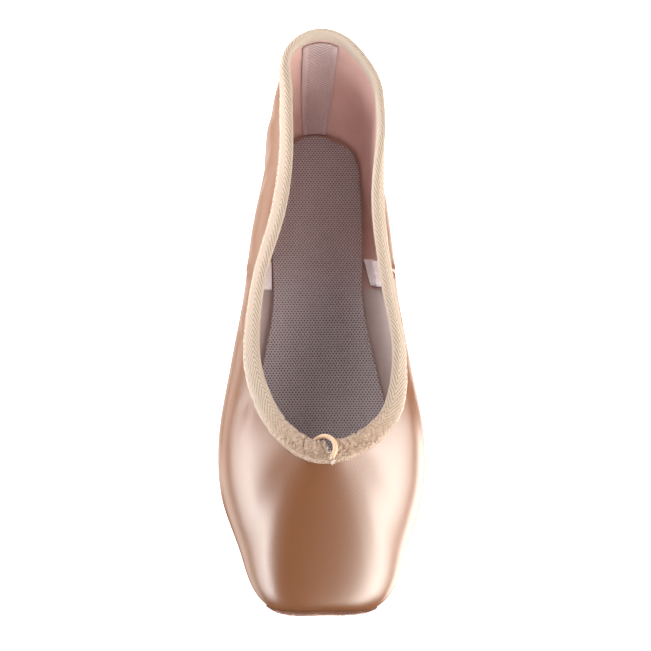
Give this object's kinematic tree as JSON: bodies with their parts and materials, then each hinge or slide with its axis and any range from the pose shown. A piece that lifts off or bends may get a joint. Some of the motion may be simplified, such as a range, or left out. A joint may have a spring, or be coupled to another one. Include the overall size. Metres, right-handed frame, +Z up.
{
  "type": "pointe shoe",
  "caption": "Satin pointe shoe with a flat platform toe, low-cut bound collar, drawstring loop at the throat, mesh insole and slim pear-shaped sole.",
  "frame": {"origin": "on the floor, under the middle of the shoe's bounding box", "axes": "+Z up from the floor, +Y along the foot towards the heel, -Y towards the platform, +X to the right seen from the toe"},
  "size_m": [0.0826, 0.238, 0.0656],
  "materials": {
    "satin": "glossy woven satin, pale lining inside",
    "sole_leather": "buffed sole leather",
    "insole_mesh": "fine dotted mesh",
    "binding_twill": "matt twill tape",
    "seam_tape": "soft twill tape",
    "platform_suede": "napped suede",
    "cord": "braided elastic"
  },
  "bodies": {
    "root": {"upper": "satin", "outsole": "sole_leather", "insole": "insole_mesh", "binding": "binding_twill", "heel_tape": "seam_tape", "side_tape_left": "seam_tape", "side_tape_right": "seam_tape", "platform_patch": "platform_suede", "drawstring": "cord"}
  },
  "joints": []
}
